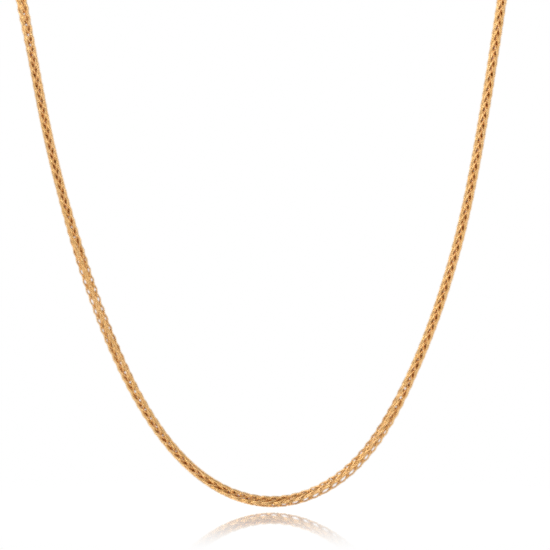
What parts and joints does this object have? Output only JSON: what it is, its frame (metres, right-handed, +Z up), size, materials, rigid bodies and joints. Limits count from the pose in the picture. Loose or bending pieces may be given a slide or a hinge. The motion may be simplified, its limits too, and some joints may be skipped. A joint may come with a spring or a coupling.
{
  "type": "foxtail chain necklace",
  "caption": "Necklace of fine foxtail chain, a closed loop hanging in a deep U, with plain end rings and a bolt-ring clasp at the nape.",
  "frame": {"origin": "middle of the clasp row at the nape, where the necklace hangs on a neck", "axes": "+Z up, +X to the wearer's left and the picture's right, -Y from the nape to the front where the U hangs in an upright plane"},
  "size_m": [0.1168, 0.0932, 0.1603],
  "materials": {
    "chain_gold": "polished warm yellow gold",
    "ring_gold": "polished warm yellow gold",
    "clasp_gold": "polished warm yellow gold"
  },
  "bodies": {
    "root": {"chain": "chain_gold", "end_ring_left": "ring_gold", "end_ring_right": "ring_gold", "clasp": "clasp_gold"}
  },
  "joints": []
}
